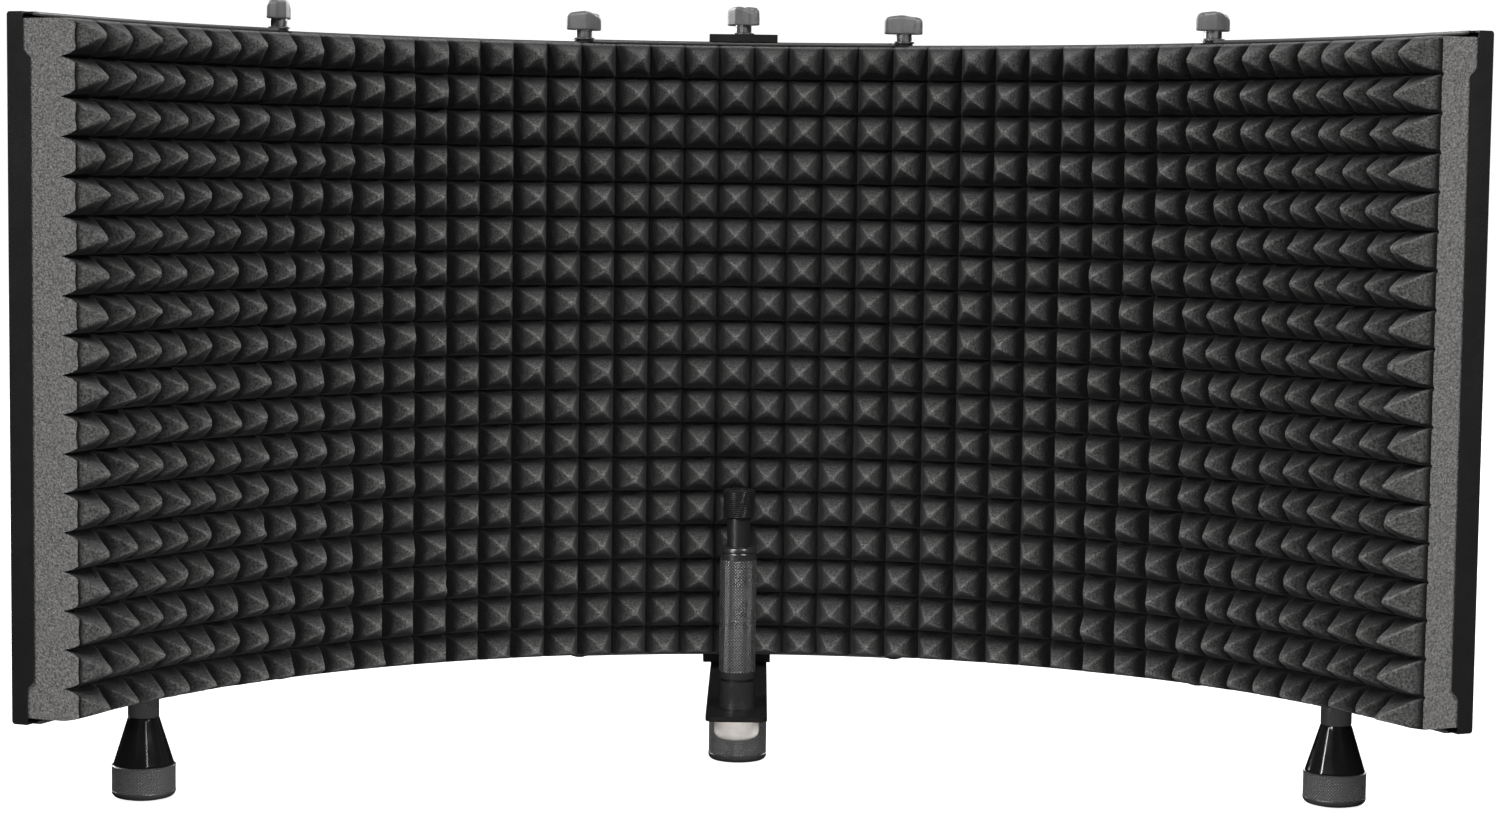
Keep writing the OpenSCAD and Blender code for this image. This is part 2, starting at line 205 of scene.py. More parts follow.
def foam_material():
    """Open-cell foam: pores and grain; ridges and tips paler from fuzz and a painted highlight; painted shade
    darkening the grooves and the flanks turned from the keys; and a lighter speckled sawn face, partly
    painted light.
    """
    g = Graph("open_cell_foam")
    cells = g.voronoi(900.0)
    grain = g.noise(850.0, 3.0, 0.75)
    mottle = g.noise(150.0, 4.0, 0.6)
    body = g.mix(g.span(mottle, 0.3, 0.7), grey(0.029), grey(0.046, 0.01))
    pitted = g.mix(g.span(cells, 0.2, 0.7), body, grey(0.019))
    skin = g.mix(g.span(grain, 0.38, 0.66), pitted, grey(0.113, 0.02))
    # ridges, tips and rims drawn paler: partly fuzz, partly a painted highlight where cut edges catch the
    # light
    worn_and_highlit = g.times(g.attribute("fuzz"), g.span(grain, 0.38, 0.62, 0.15, 0.9))
    lit = g.mix(worn_and_highlit, skin, grey(0.18, 0.02))
    deep = g.attribute("deep")
    # painted shade: darker deeper in the grooves, on flanks turned from the keys and in the end crease, down
    # to a painted near-black
    shade = g.times(g.span(deep, 0.22, 0.74, 1.0, 0.30), g.span(deep, 0.60, 0.82, 1.0, 0.06))
    teeth = g.mix(shade, grey(0.003), lit)
    # the sawn face drawn paler: partly its own cut-cell colour, partly painted light for a face that meets
    # the keys
    sawn = g.mix(g.span(grain, 0.40, 0.60), grey(0.082), grey(0.200, 0.03))
    speck = g.span(g.noise(900.0, 2.0, 0.8), 0.56, 0.64)
    sawn = g.mix(g.times(speck, 0.5), sawn, grey(0.33, 0.03))
    rough = g.bump(cells, 0.5, 0.0006)
    g.set(Base_Color=g.mix(g.attribute("cut"), teeth, sawn),
          Roughness=g.span(mottle, 0.3, 0.7, 0.88, 1.0), Specular_IOR_Level=0.08,
          Normal=g.bump(grain, 0.5, 0.0006, rough),
          Sheen_Weight=0.06, Sheen_Roughness=0.6)
    return g.mat


MATS = {
    "tray_coat": coat("tray_powder_coat", 0.013, 0.40, 1.0, spec=0.4, dust=0.10),
    "bracket_coat": coat("bracket_paint", 0.009, 0.40, 0.7, spec=0.3, dust=0.05),
    "zinc_steel": metal("zinc_plating", 0.38, 0.32),
    "black_steel": metal("blackened_steel", 0.06, 0.38, metallic=0.8),
    "knob_plastic": plastic("knob_satin_plastic", 0.125, 0.42),
    # worn_and_highlit gives the crests' paler grey, partly wear and partly painted highlight
    "post_steel": coat("post_satin_grey", 0.020, 0.25, 0.4, spec=0.8, worn_and_highlit=0.21),
    "rod_black": coat("rod_black_satin", 0.012, 0.33, 0.3),
    "cap_nickel": metal("cap_pearl_nickel", 0.95, 0.40, metallic=0.0, warm=0.06, spots=0.25),
    "adapter_steel": coat("adapter_satin_grey", 0.038, 0.28, 0.4, spec=0.9, worn_and_highlit=0.20),
    "foot_gloss": plastic("foot_gloss_black", 0.008, 0.14, 0.05, 0.5),
    "foot_ring_coat": coat("foot_ring_grey", 0.062, 0.30, 0.5, spec=0.8, worn_and_highlit=0.17),
    "pad_rubber": coat("pad_rubber", 0.02, 0.8, 1.2, spec=0.3),
    "foam": foam_material(),
}
# the rolled edges' coat is drawn paler than the trays' as a painted highlight
EDGE_HIGHLIGHT_COAT = coat("tray_coat_edge_highlight", 0.075, 0.42, 1.0, spec=0.5, dust=0.10)

for node_name, ob in NODES.items():
    slot_name = SLOT_OF[node_name]
    for s in ob.material_slots:
        s.material = MATS[slot_name]
    if slot_name in ("tray_coat", "bracket_coat"):
        edge = ob.modifiers.new("broken_edges", "BEVEL")
        edge.width = 0.4 * MM
        edge.segments = 2
        edge.limit_method = "ANGLE"
        edge.angle_limit = math.radians(50)


# ---------------------------------------------------------------- mesh help

def make(name, verts, faces, slot, body=None, replaced=(), sharp=30.0):
    """A finished mesh piece in its material, riding on its body; edges over sharp degrees stay crisp."""
    mesh = bpy.data.meshes.new(name)
    mesh.from_pydata(verts, [], faces)
    mesh.validate()
    bm = bmesh.new()
    bm.from_mesh(mesh)
    bmesh.ops.recalc_face_normals(bm, faces=bm.faces)
    bm.to_mesh(mesh)
    bm.free()
    mesh.shade_smooth()
    if sharp:
        mesh.set_sharp_from_angle(angle=math.radians(sharp))
    mesh.materials.append(MATS[slot])
    piece = bpy.data.objects.new(name, mesh)
    bpy.context.scene.collection.objects.link(piece)
    if replaced:
        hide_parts(*replaced)
    if body:
        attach(piece, body)
    return piece


def mark(mesh, key, values, domain="POINT"):
    """A number per vertex or face that the materials read."""
    layer = mesh.attributes.new(key, "FLOAT", domain)
    layer.data.foreach_set("value", np.array(values, np.float32))


# Profiles are lists of (radius, z, work) in mm. Work is None on a smooth stretch, or says how it is knurled
# or threaded: ("knurl", teeth round it, depth, 1 / axial pitch) or ("thread", pitch, depth).

def plain(*points):
    """Profile points of a smooth stretch."""
    return [(r, z, None) for r, z in points]


def run(a, b, step, work=None):
    """Profile points from a to b, every step."""
    n = max(1, int(round(math.dist(a, b) / step)))
    return [(a[0] + (b[0] - a[0]) * i / n, a[1] + (b[1] - a[1]) * i / n, work) for i in range(n + 1)]


def quarter(cx, cz, r, a0, a1):
    """Smooth profile points on a circle, angles in degrees from +r towards +z."""
    n = 8
    turns = [math.radians(a0 + (a1 - a0) * i / n) for i in range(n + 1)]
    return plain(*[(cx + r * math.cos(t), cz + r * math.sin(t)) for t in turns])


def knurl(teeth, depth, pitch):
    return ("knurl", teeth, depth, 1 / pitch)


def thread(pitch, depth):
    """Threading cut into the radius; a negative depth stands inward from a bore's wall."""
    return ("thread", pitch, depth)


def wave(x):
    """Triangle wave from 0 to 1 and back, period 1."""
    x = x % 1.0
    return 1 - abs(2 * x - 1)


def cut_depth(z, phi, work):
    """How far the knurl or thread has taken the surface down, mm."""
    if work is None:
        return 0.0
    turns = phi / (2 * math.pi)
    if work[0] == "knurl":
        _, teeth, depth, slope = work
        return depth * (1 - min(wave(teeth * turns + z * slope), wave(teeth * turns - z * slope)))
    _, pitch, depth = work
    return depth * wave(z / pitch - turns)


def crest(z, phi, work):
    """How near a point is to the top of its knurl or thread, 0 to 1."""
    if work is None or work[2] < 0:
        return 0.0
    return max(0.0, 1 - cut_depth(z, phi, work) / work[2])


def lathe(profile, n, at):
    """Vertices, faces and crest paleness (wear and painted highlight) of a revolved closed profile, n points
    round; at is the axis in metres.
    """
    verts, faces, rings, crest_wear_and_highlight = [], [], [], []
    for r, z, work in profile:
        if r < 1e-6:
            verts.append((at[0], at[1], at[2] + z * MM))
            crest_wear_and_highlight.append(0.0)
            rings.append([len(verts) - 1] * n)
            continue
        first = len(verts)
        for i in range(n):
            phi = 2 * math.pi * i / n
            q = (r - cut_depth(z, phi, work)) * MM
            verts.append((at[0] + q * math.cos(phi), at[1] + q * math.sin(phi), at[2] + z * MM))
            crest_wear_and_highlight.append(crest(z, phi, work))
        rings.append(list(range(first, first + n)))
    hollow = profile[0][0] > 1e-6
    for k in range(len(rings) - (0 if hollow else 1)):
        a, b = rings[k], rings[(k + 1) % len(rings)]
        for i in range(n):
            j = (i + 1) % n
            f = [a[i], a[j], b[j], b[i]]
            f = [v for m, v in enumerate(f) if v not in f[:m]]
            if len(f) > 2:
                faces.append(f)
    return verts, faces, crest_wear_and_highlight


def turned(name, profile, n, at, slot, body, replaced=(), sharp=30.0):
    """A revolved piece whose knurl and thread tops are marked to be drawn paler, for wear and as a painted
    highlight.
    """
    verts, faces, crest_wear_and_highlight = lathe(profile, n, at)
    piece = make(name, verts, faces, slot, body, replaced, sharp)
    mark(piece.data, "crest_wear_and_highlight", crest_wear_and_highlight)
    return piece


# ---------------------------------------------------------------- foam

FOAM_Z0, FOAM_Z1 = 0.0521, 0.3739      # bottom and top cut
FOAM_BACK = 0.3674                     # radius of the flat rear face
FOAM_END = 67.25                       # the sheet's two ends, degrees each side
VALLEY_R = 0.3415                      # radius of the grooves' floor
TOOTH = 0.0222                         # height of a pyramid
COLUMNS, ROWS = 44, 18
ROW = 0.01809                          # pitch of the rows
TOP_VALLEY = 0.3566                    # first full groove below the top
SUB = 12                               # mesh steps across a pyramid
WALL_AT, WALL_FALL = 0.88, 0.90        # where a flank turns steep, and how much it has fallen by there
ROUND = 0.11                           # how blunt a tip is
SOFT_RIDGE = 0.10
HOLLOW = 0.12                          # how far the flanks sag between the ridges
UNEVEN = 0.024
# Tip angles: an even pitch that opens at both ends of the sheet and bunches past the right outer hinge.
TIP_AT = np.interp(np.arange(COLUMNS),
                   [0, 1, 2, 11, 32, 33, 34, 35, 36, 41, 42, 43],
                   [-65.4, -62.0, -58.7, -31.3, 33.1, 36.0, 39.2, 42.5, 45.0, 59.3, 62.5, 66.0])
GROOVES = np.concatenate([[-67.9], (TIP_AT[:-1] + TIP_AT[1:]) / 2, [FOAM_END]])
FIRST_CUT = 2 * (-FOAM_END - GROOVES[0]) / (GROOVES[1] - GROOVES[0]) - 1    # where the cut crosses column 0

rng = np.random.default_rng(SEED)
LEAN_A = rng.normal(0, 0.09, (COLUMNS, ROWS))
LEAN_B = rng.normal(0, 0.08, (COLUMNS, ROWS))
TALL = 1 + rng.normal(0, 0.018, (COLUMNS, ROWS))
DENT = rng.normal(0, 1, (COLUMNS, ROWS, 4))


def smax(x, y, k):
    """The greater of two numbers, rounded over k where they are close."""
    return max(x, y) + max(k - abs(x - y), 0) ** 2 / (4 * k)


def tooth(a, b, j, k):
    """A pyramid's surface at a and b, which run from -1 to 1 over its foot.

    Gives the leaning place, the height, the distance m from the tip and the nearness q to a ridge.
    """
    near, far = sorted((abs(a), abs(b)))
    m = smax(abs(a), abs(b), SOFT_RIDGE)
    q = near / max(far, 1e-6)
    lift = min(max(1 - m, 0), 1)
    over = max(m - WALL_AT, 0.0) / (1 - WALL_AT)
    h = 1 - WALL_FALL * math.sqrt(m * m + ROUND ** 2) - (1 - WALL_FALL) * over
    h -= HOLLOW * min(max(m * (1 - m), 0), 1) * (1 - q * q)
    d = DENT[j, k]
    h += UNEVEN * lift * (d[0] * math.sin(5 * a + d[1] * 3) + d[2] * math.sin(6 * b + d[3] * 3))
    return a + LEAN_A[j, k] * lift, b + LEAN_B[j, k] * lift, h * TALL[j, k], m, q


def tooth_shade(j, k, a, b, m, q):
    """How pale a point of the teeth is drawn, for fuzz and as a painted highlight, and how much painted shade
    it gets, deeper in a groove and on flanks turned from the keys, as the foam material reads them.
    """
    ridge = math.exp(-((1 - q) / 0.14) ** 2) * min(1.0, 1.2 * (1 - m) + 0.35)
    tip = math.exp(-(m / 0.2) ** 2)
    faces_sideways = abs(a) > abs(b)
    if faces_sideways and ((j == 0 and a < 0) or (j == COLUMNS - 1 and a > 0)):
        # the open flanks at the sheet's two ends, with painted shade for a dark crease along the cut
        out = abs(a) / abs(FIRST_CUT) if j == 0 else abs(a)
        return max(ridge, tip, 0.08), 0.28 + max(0.0, out - 0.93) * 9
    # painted shade on the side flanks, and on the undersides of every row but the bottom one, as they turn
    # from the keys
    facing_shade = 0.10 if faces_sideways else 0.18 if b < 0 and k < ROWS - 1 else 0.0
    return max(ridge, tip), m + facing_shade * (1 - q) * min(1.0, 3 * m)


def column_steps(first, last):
    """Mesh steps across the columns first to last-1, as (column, place from -1 to 1)."""
    out = []
    for j in range(first, last):
        steps = np.linspace(-1.0 if j > 0 else FIRST_CUT, 1, SUB + 1)
        out += [(j, float(a)) for a in (steps if j == last - 1 else steps[:-1])]
    return out


def row_steps():
    """Mesh steps down the rows, as (row, place from 1 to -1)."""
    out = []
    for k in range(ROWS):
        high = TOP_VALLEY + ROW * (1 - k)
        low = high - ROW
        cut = min(high, FOAM_Z1)
        steps = np.linspace(2 * (cut - low) / ROW - 1, -1, SUB + 1)
        out += [(k, float(b)) for b in (steps if k == ROWS - 1 else steps[:-1])]
    return out


class Sheet:
    """A foam piece as it is built: vertices with their paleness and painted shade, and faces."""

    def __init__(self):
        self.verts, self.fuzz, self.deep, self.faces = [], [], [], []

    def add(self, place, fuzz, deep):
        self.verts.append(place)
        self.fuzz.append(fuzz)
        self.deep.append(deep)
        return len(self.verts) - 1

    def double(self, v):
        return self.add(self.verts[v], self.fuzz[v], self.deep[v])

    def behind(self, v, radius, deep):
        x, y, z = self.verts[v]
        t = math.atan2(x, y - ARC_Y)
        return self.add((radius * math.sin(t), ARC_Y + radius * math.cos(t), z), 0.0, deep)

    def strip(self, line_a, line_b):
        for i in range(len(line_a) - 1):
            self.faces.append((line_a[i], line_a[i + 1], line_b[i + 1], line_b[i]))


def add_teeth(sheet, us, vs, first, last):
    """The toothed front; gives its grid of vertices."""
    nu, nv = len(us), len(vs)
    grid = np.zeros((nu, nv), int)
    for x, (j, a) in enumerate(us):
        for y, (k, b) in enumerate(vs):
            pa, pb, h, m, q = (float(t) for t in tooth(a, b, j, k))
            rim = y in (0, nv - 1)
            if rim or (x == 0 and first == 0) or (x == nu - 1 and last == COLUMNS):
                pa, pb = a, b
            px, py = on_arc(GROOVES[j] + (GROOVES[j + 1] - GROOVES[j]) * (pa + 1) / 2, VALLEY_R - TOOTH * h)
            z = TOP_VALLEY + ROW * (0.5 - k)
            z += pb * (z - FOAM_Z0 if k == ROWS - 1 and pb < 0 else ROW / 2)
            # the top and bottom rims drawn as pale lines, fuzz and painted highlight, with little painted
            # shade
            fuzz, deep = (1.0, 0.2) if rim else tooth_shade(j, k, a, b, m, q)
            grid[x, y] = sheet.add((px, py, z), fuzz, deep)
    for x in range(nu - 1):
        a, a_next = us[x][1], us[x + 1][1]
        a = (a + (a_next if a_next > a else 1.0)) / 2
        for y in range(nv - 1):
            b, b_next = vs[y][1], vs[y + 1][1]
            b = (b + (b_next if b_next < b else -1.0)) / 2
            p, q, r, s = grid[x, y], grid[x + 1, y], grid[x + 1, y + 1], grid[x, y + 1]
            if a * b > 0:       # this quarter's ridge runs from s to q
                sheet.faces += [(p, q, s), (q, r, s)]
            else:
                sheet.faces += [(p, q, r), (p, r, s)]
    return grid


def add_cut_edges(sheet, grid):
    """The sawn faces all round, back to the rear; gives the rear lines of the top and bottom."""
    rear = []
    for line in (grid[:, 0], grid[:, -1], grid[0, :], grid[-1, :]):
        front = [sheet.double(v) for v in line]
        middle = [sheet.behind(v, (VALLEY_R + FOAM_BACK) / 2, 0.0) for v in line]
        # the rear line takes heavy painted shade
        back = [sheet.behind(v, FOAM_BACK, 0.86) for v in line]
        for i in range(len(line) - 1):
            sheet.strip(front[i:i + 2], middle[i:i + 2])
            sheet.strip(middle[i:i + 2], back[i:i + 2])
        rear.append(back)
    return rear[0], rear[1]


def foam_piece(name, first, last, replaced):
    """Teeth columns first to last-1 as one closed sheet, laid along the arc across a hinge."""
    sheet = Sheet()
    grid = add_teeth(sheet, column_steps(first, last), row_steps(), first, last)
    teeth_faces = len(sheet.faces)
    top, bottom = add_cut_edges(sheet, grid)
    cut_faces = len(sheet.faces)
    sheet.strip(top, bottom)

    piece = make(name, sheet.verts, sheet.faces, "foam", None, replaced, sharp=0)
    mesh = piece.data
    # per vertex: how pale (fuzz and painted highlight) and how much painted shade
    mark(mesh, "fuzz", sheet.fuzz)
    mark(mesh, "deep", sheet.deep)
    sawn = np.zeros(len(mesh.polygons))
    sawn[teeth_faces:cut_faces] = 1.0
    mark(mesh, "cut", sawn, "FACE")

    bm = bmesh.new()
    bm.from_mesh(mesh)
    bmesh.ops.remove_doubles(bm, verts=[v for v in bm.verts if v.is_boundary], dist=1e-7)
    bmesh.ops.recalc_face_normals(bm, faces=bm.faces)
    cut = bm.faces.layers.float.get("cut")
    crease = math.radians(75)
    for e in bm.edges:
        one_kind = len({f[cut] > 0.5 for f in e.link_faces}) == 1
        e.smooth = one_kind and not (len(e.link_faces) == 2 and e.calc_face_angle(0) > crease)
    bm.to_mesh(mesh)
    bm.free()

    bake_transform(piece)


foam_piece("foam_left_outer", 0, 13, ("outer_left_foam",))
foam_piece("foam_left_inner", 13, 22, ("inner_left_foam", "centre_foam"))
foam_piece("foam_right_inner", 22, 31, ("inner_right_foam",))
foam_piece("foam_right_outer", 31, 44, ("outer_right_foam",))


# ---------------------------------------------------------------- rolled flange edges

BEAD_AT = 356.6                        # radius of the flanges' front edge, mm


def bead(name, body, a0, a1, z, r):
    """A rolled edge along the front of a tray flange, between two angles in degrees, z and r in mm."""
    n, k = 90, 10
    verts, faces = [], []
    for i in range(n + 1):
        q = r * (0.55 if i in (0, n) else 1.0)
        for j in range(k):
            c = 2 * math.pi * j / k
            px, py = on_arc(a0 + (a1 - a0) * i / n, (BEAD_AT + q * math.cos(c)) * MM)
            verts.append((px, py, (z + q * math.sin(c)) * MM))
    for i in range(n):
        for j in range(k):
            a, b = i * k + j, i * k + (j + 1) % k
            faces.append((a, b, b + k, a + k))
    faces.append(tuple(range(k)))
    faces.append(tuple(n * k + j for j in reversed(range(k))))
    piece = make(name, verts, faces, "tray_coat", body, (), sharp=60)
    # painted highlight: the edge takes the paler coat
    piece.data.materials[0] = EDGE_HIGHLIGHT_COAT


for panel, a0, a1, inner in (("outer_left", -67.0, -41.1, False),
                             ("inner_left", -39.9, -14.1, True),
                             ("centre", -12.9, 12.9, False),
                             ("inner_right", 14.1, 39.9, True),
                             ("outer_right", 41.1, 67.0, False)):
    top_z, bottom_z, bead_r = (374.85, 51.1, 0.7) if inner else (375.95, 50.05, 1.0)
    bead(f"{panel}_top_bead", panel, a0, a1, top_z, bead_r)
    bead(f"{panel}_bottom_bead", panel, a0, a1, bottom_z, bead_r)


# ---------------------------------------------------------------- post, stand adapter and feet

sleeve = (plain((7.36, 60), (8.3, 59.5), (8.75, 59.6), (9, 60.0), (9, 63.2), (8.92, 63.3))
          + run((8.98, 63.4), (8.98, 118.6), 0.215, knurl(36, 0.36, 1.57))
          + plain((8.92, 118.7), (9, 118.8), (9, 121.2), (8.5, 121.4), (8.35, 121.8), (8.5, 122.2),
                  (9, 122.4), (9, 123.6), (8.7, 124.3), (7.9, 124.9), (7.6, 125), (5.81, 125),
                  (5.81, 123.4), (7.36, 123.4)))
turned("grip_sleeve", sleeve, 264, POST, "post_steel", "sleeve", ("post_sleeve",), sharp=24)

rod = (plain((0, 61.5), (5.4, 61.5), (5.75, 61.9))
       + run((5.75, 62.2), (5.75, 138.6), 8)
       + plain((5.75, 139), (6.9, 139), (7.3, 139.4))
       + run((7.92, 139.6), (7.92, 152.2), 0.157, thread(0.94, 0.5))
       + plain((7.2, 152.6), (6.9, 153), (5.2, 153), (4.6, 152.6), (4.5, 150), (0, 149.4)))
turned("post_rod_threaded", rod, 96, POST, "rod_black", "rod", ("post_rod",))

ADAPTER_R = 15.3
adapter = (run((7.5, 0.8), (7.5, 20), 0.19, thread(0.94, -0.42))
           + plain((4.1, 20.2), (4.0, 23), (4.0, 41.6), (10.7, 41.65), (11, 41.3), (11, 26.6),
                   (11.4, 26.0), (14.4, 26), (15.0, 25.8), (ADAPTER_R, 25.2), (ADAPTER_R, 24.2),
                   (ADAPTER_R - 0.1, 24.1))
           + run((ADAPTER_R - 0.03, 24.0), (ADAPTER_R - 0.03, 3.6), 0.21, knurl(60, 0.34, 1.6))
           + plain((ADAPTER_R - 0.1, 3.5), (ADAPTER_R, 3.4))
           + quarter(ADAPTER_R - 2.5, 2.5, 2.5, 0, -90)
           + plain((9.0, 0), (8.2, 0.1)))
turned("stand_adapter_knurled", adapter, 304, (0, 0, 0), "adapter_steel", "adapter",
       ("stand_adapter",), sharp=24)

ring = (plain((0, 2.6), (10.5, 2.6), (10.5, 0.9), (10.9, 0.6))
        + quarter(12.5, 3.6, 3, -90, 0)
        + plain((15.4, 3.9))
        + run((15.46, 4.0), (15.46, 15.7), 0.21, knurl(62, 0.30, 1.57))
        + plain((15.4, 15.8), (15.5, 15.9), (15.5, 16.2), (15.2, 16.5), (0, 16.5)))
cone = (plain((0, 16.55), (14.2, 16.55), (14.6, 16.8), (14.55, 17.2))
        + run((14.4, 17.6), (7.7, 39.2), 2.0)
        + plain((7.5, 39.6), (7.2, 39.7), (0, 39.7)))
collar = (plain((2.6, 39.7), (7.0, 39.7), (7.45, 40.0), (7.55, 40.5))
          + run((7.55, 41.0), (7.55, 48.3), 2.0)
          + plain((7.4, 48.75), (6.9, 48.95), (2.6, 48.95)))
for side, angle in (("left", -FOOT_AT), ("right", FOOT_AT)):
    foot, body = (*on_arc(angle, PIVOT_R), 0), f"{side}_foot"
    turned(f"{side}_cone", cone, 128, foot, "foot_gloss", body, (f"{side}_foot_cone",))
    turned(f"{side}_collar", collar, 96, foot, "foot_ring_coat", body)
    turned(f"{side}_grip_ring", ring, 312, foot, "foot_ring_coat", body, (f"{side}_foot_ring",), sharp=24)


# ---------------------------------------------------------------- thumb-knobs, lengths in mm

KNOB_L, BLADE, OFFSET = 10.0, 6.4, 2.0       # reach, thickness and sideways shift of a wing
HEAD_Z, HEAD_H = 4.0, 10.0                   # the head's underside above the seat, and its height
LOZENGE = math.radians(18)                   # the head's long way, against its wings
WAIST = (8.6, 4.7)                           # half length and half width of the oval between the wings
FOOT_ROUND, TOP_ROUND = 0.9, 2.2
KNOB_N = 144
SEAT = 377.85


def knob_outline():
    """Distance from the middle to the rim of the two-winged head, all round, its inner corners eased."""
    radii = np.arange(4.0, 11.0, 0.01)
    tip = KNOB_L - BLADE / 2
    rim = []
    for i in range(KNOB_N):
        phi = 2 * math.pi * i / KNOB_N
        x, y = radii * math.cos(phi), radii * math.sin(phi)
        along = x * math.cos(LOZENGE) + y * math.sin(LOZENGE)
        across = y * math.cos(LOZENGE) - x * math.sin(LOZENGE)
        inside = np.hypot(along / WAIST[0], across / WAIST[1]) < 1
        for side in (1, -1):
            wx, wy = side * x, side * y - OFFSET
            inside |= (wx > 0) & (wx < tip) & (np.abs(wy) < BLADE / 2)
            inside |= np.hypot(wx - tip, wy) < BLADE / 2
        rim.append(radii[inside].max())
    kernel = np.exp(-(np.arange(-4, 5) / 1.6) ** 2)
    kernel /= kernel.sum()
    return sum(w * np.roll(np.array(rim), k) for w, k in zip(kernel, range(-4, 5)))


def crown(x, y):
    """Height of the head's top, which falls outward and dips along the middle."""
    fall = 0.15 * (np.sqrt(x * x + 4.0) - 2.0)
    dip = 1.6 * np.exp(-(y / 1.6) ** 2) * (1 - np.exp(-(x / 3.0) ** 2) * 0.6)
    return HEAD_Z + HEAD_H - fall - dip


def knob_rings():
    """The head as rings from its underside over the rim to its middle, each x, y and z."""
    rim = knob_outline()
    phis = np.arange(KNOB_N) * 2 * math.pi / KNOB_N
    ux, uy = np.cos(phis), np.sin(phis)
    rings = []

    def ring(radius, z):
        rings.append((radius * ux, radius * uy, z * np.ones(KNOB_N)))

    ring(np.full(KNOB_N, 4.4), HEAD_Z)
    ring(rim - 1.1, HEAD_Z)
    for t in np.linspace(20, 90, 5):
        c = math.radians(t)
        ring(rim - FOOT_ROUND + FOOT_ROUND * math.sin(c), HEAD_Z + FOOT_ROUND - FOOT_ROUND * math.cos(c))
    edge = crown(rim * ux, rim * uy) - TOP_ROUND
    for t in np.linspace(0.0, 1.0, 4):
        ring(rim * (1 - 0.004 * t), (HEAD_Z + FOOT_ROUND) * (1 - t) + edge * t)
    for t in np.linspace(12, 90, 7):
        c = math.radians(t)
        rr = rim * 0.996 - TOP_ROUND * (1 - math.cos(c)) * 0.9
        top = crown(rr * ux, rr * uy)
        low = np.minimum(edge + TOP_ROUND * math.sin(c), top)
        ring(rr, low * (1 - t / 90) + (top - TOP_ROUND * (1 - math.sin(c))) * (t / 90))
    last = rim * 0.996 - TOP_ROUND * 0.9
    for t in np.linspace(0.85, 0.05, 9):
        ring(last * t, crown(last * t * ux, last * t * uy))
    return rings


RINGS = knob_rings()


def knob(name, angle, turn, seat, body, node):
    """A thumb-knob on the arc: its two-winged head, turned by that many degrees, and its steel neck."""
    n = KNOB_N
    at = on_arc(angle, PIVOT_R)
    spin = math.radians(turn - angle)
    co, si = math.cos(spin), math.sin(spin)
    verts, faces = [], []
    for x, y, z in RINGS:
        for i in range(n):
            verts.append((at[0] + (x[i] * co - y[i] * si) * MM, at[1] + (x[i] * si + y[i] * co) * MM,
                          (seat + z[i]) * MM))
    for k in range(len(RINGS) - 1):
        for i in range(n):
            j = (i + 1) % n
            faces.append((k * n + i, k * n + j, (k + 1) * n + j, (k + 1) * n + i))
    verts.append((*at, (seat + float(crown(0.0, 0.0))) * MM))
    verts.append((*at, (seat + HEAD_Z) * MM))
    top, bottom, last = len(verts) - 2, len(verts) - 1, (len(RINGS) - 1) * n
    for i in range(n):
        j = (i + 1) % n
        faces.append((last + i, last + j, top))
        faces.append((j, i, bottom))
    make(f"{name}_head", verts, faces, "knob_plastic", body, (node,), sharp=50)
    neck = plain((2.55, seat), (4.3, seat), (4.6, seat + 0.3), (4.6, seat + 3.2), (4.35, seat + 3.45),
                 (4.35, seat + 4.1), (2.55, seat + 4.1))
    turned(f"{name}_neck", neck, 72, (*at, 0), "zinc_steel", body)


knob("clamp_knob", 0, 122, SEAT + 4, "clamp_knob", "centre_knob")
for place, angle, turn in (("inner_left", HINGES[1], 4), ("inner_right", HINGES[2], 1),
                           ("outer_left", HINGES[0], 16), ("outer_right", HINGES[3], 55)):
    knob(f"{place}_knob_piece", angle, turn, SEAT, f"{place}_hinge_knob", f"{place}_knob")


# ---------------------------------------------------------------- stage, light, camera

def stage():
    """A pale floor that curves up behind the shield and glows for the camera alone."""
    turns = np.linspace(0, math.pi / 2, 25)
    line = [(-4.0, 0.0)] + [(1.6 + 1.5 * math.sin(t), 1.5 - 1.5 * math.cos(t)) for t in turns] + [(3.1, 4.0)]
    verts = [(x, y, z) for y, z in line for x in (-6.0, 6.0)]
    faces = [(2 * i, 2 * i + 1, 2 * i + 3, 2 * i + 2) for i in range(len(line) - 1)]
    mesh = bpy.data.meshes.new("floor")
    mesh.from_pydata(verts, [], faces)
    mesh.shade_smooth()
    g = Graph("pale_floor")
    g.set(Base_Color=g.mix(g.noise(3.0, 3.0), grey(0.33), grey(0.36)), Roughness=0.9,
          Emission_Color=grey(1.0), Emission_Strength=0.93)
    mesh.materials.append(g.mat)
    floor = bpy.data.objects.new("floor", mesh)
    bpy.context.scene.collection.objects.link(floor)
    floor.visible_diffuse = False
    floor.visible_glossy = False


def sky(level):
    """A faint glow from above, none from below."""
    world = bpy.data.worlds.new("studio")
    bpy.context.scene.world = world
    world.use_nodes = True
    nt = world.node_tree
    coord = nt.nodes.new("ShaderNodeTexCoord")
    split = nt.nodes.new("ShaderNodeSeparateXYZ")
    ramp = nt.nodes.new("ShaderNodeMapRange")
    nt.links.new(coord.outputs["Generated"], split.inputs[0])
    nt.links.new(split.outputs["Z"], ramp.inputs["Value"])
    for key, x in (("From Min", -0.05), ("From Max", 0.25), ("To Min", 0.0), ("To Max", level)):
        ramp.inputs[key].default_value = x
    nt.links.new(ramp.outputs["Result"], nt.nodes["Background"].inputs["Strength"])


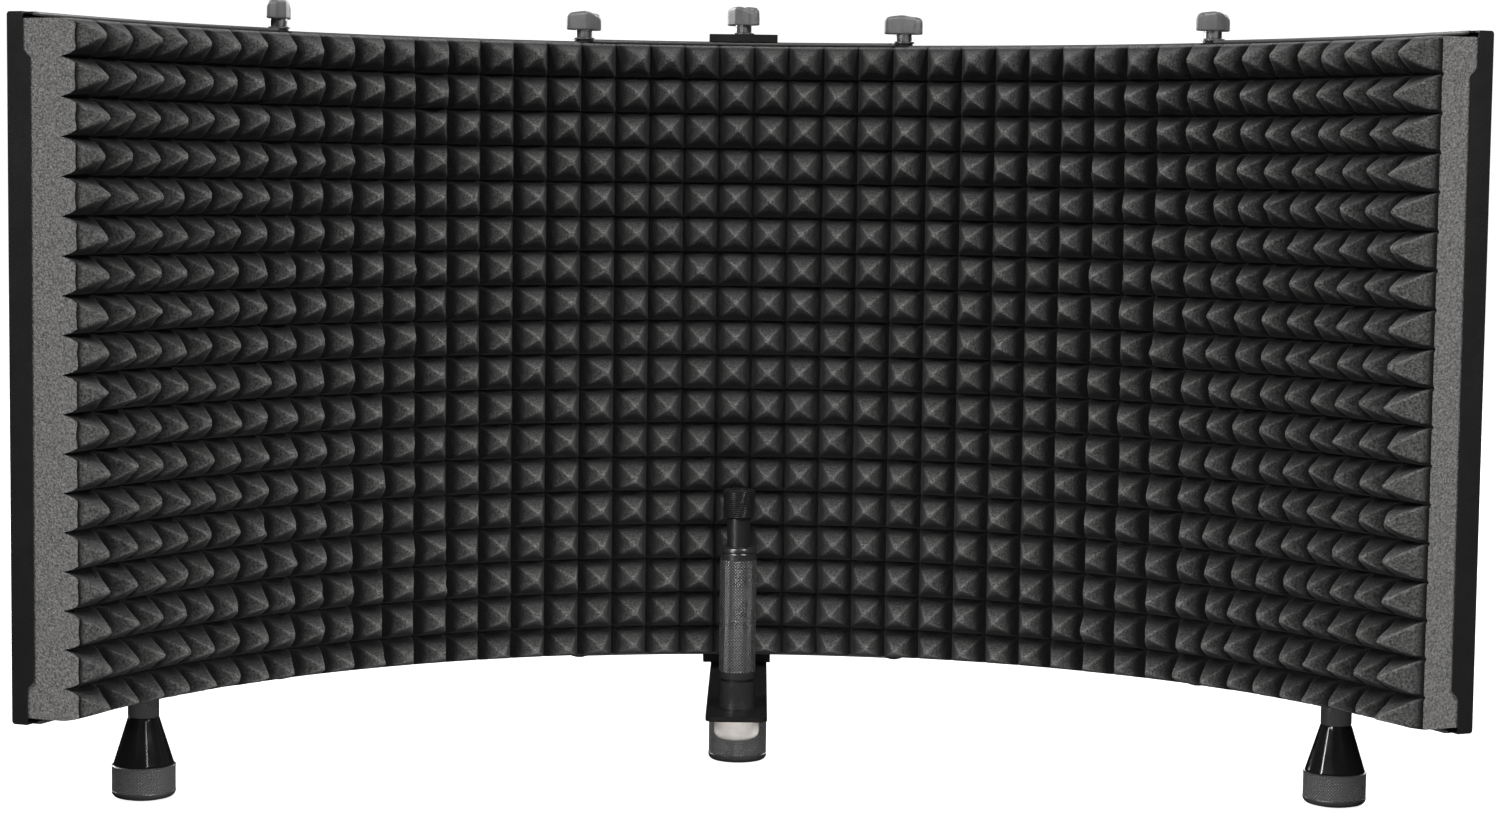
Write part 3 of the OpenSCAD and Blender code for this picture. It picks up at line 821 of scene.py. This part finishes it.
def area(name, at, to, size, power, mirrored=True, lit=True):
    """An area light that the camera can't see; it may be kept out of reflections or out of diffuse light."""
    data = bpy.data.lights.new(name, "AREA")
    data.shape = "RECTANGLE"
    data.size, data.size_y = size
    data.energy = power
    ob = bpy.data.objects.new(name, data)
    ob.location = at
    ob.rotation_mode = "QUATERNION"
    ob.rotation_quaternion = (Vector(to) - Vector(at)).to_track_quat("-Z", "Y")
    ob.visible_camera = False
    ob.visible_glossy = mirrored
    ob.visible_diffuse = lit
    bpy.context.scene.collection.objects.link(ob)


def aimed(azimuth, elevation, reach):
    """Place on a sphere round the shield; azimuth 0 is straight in front, positive to +X."""
    a, e = math.radians(azimuth), math.radians(elevation)
    flat = reach * math.cos(e)
    return flat * math.sin(a), -0.1 - flat * math.cos(a), 0.2 + reach * math.sin(e)


def bounce(name, x, y, size, power):
    """Light that the pale floor would send up."""
    area(name, (x, y, 0.004), (x, y, 1), size, power, mirrored=False)


stage()
sky(0.06)
AIM = (0, -0.05, 0.2)
RIGHT_CONE = (0.293, -0.106, 0.03)
area("key_left", aimed(-38, 38, 2.4), AIM, (0.7, 0.7), 37)
area("key_right", aimed(38, 38, 2.4), AIM, (0.7, 0.7), 41)
area("fill_front", aimed(0, 3, 2.6), AIM, (1.6, 0.5), 4.6, mirrored=False)
area("fill_low", (-0.003, -0.62, 0.035), (-0.003, -0.1, 0.03), (0.22, 0.04), 1.5, mirrored=False)
area("strip", (-0.165, -0.306, 0.215), RIGHT_CONE, (0.02, 0.25), 0.5, lit=False)
area("back_left", aimed(-135, 24, 2.2), AIM, (1.2, 1.6), 60)
area("back_right", aimed(150, 28, 2.2), AIM, (1.2, 1.6), 48)
bounce("bounce_middle", 0, -0.01, (0.34, 0.10), 0.08)
bounce("bounce_left", -0.26, -0.09, (0.17, 0.17), 0.07)
bounce("bounce_right", 0.26, -0.09, (0.17, 0.17), 0.07)

HEADING, PITCH, ROLL = 0.0286, 0.0783, 0.0118       # where the camera looks, radians
CAMERA_X, CAMERA_D, CAMERA_Z = 0.005747, 1.5953, 0.30622    # aside, away from the shield's back, and up
BACK_Y = 0.05
co, si = math.cos(HEADING), math.sin(HEADING)
camera_data = bpy.data.cameras.new("camera")
camera_data.sensor_fit = "HORIZONTAL"
camera_data.sensor_width = 36.0
camera_data.lens = 71.19
camera_data.clip_start, camera_data.clip_end = 0.05, 50
camera = bpy.data.objects.new("camera", camera_data)
camera.location = (co * CAMERA_X - si * CAMERA_D, BACK_Y - si * CAMERA_X - co * CAMERA_D, CAMERA_Z)
look = Vector((si * math.cos(PITCH), co * math.cos(PITCH), -math.sin(PITCH)))
camera.rotation_mode = "QUATERNION"
camera.rotation_quaternion = look.to_track_quat("-Z", "Y") @ Quaternion((0, 0, 1), ROLL)
bpy.context.scene.collection.objects.link(camera)
bpy.context.scene.camera = camera
bpy.context.scene.view_settings.view_transform = "Standard"
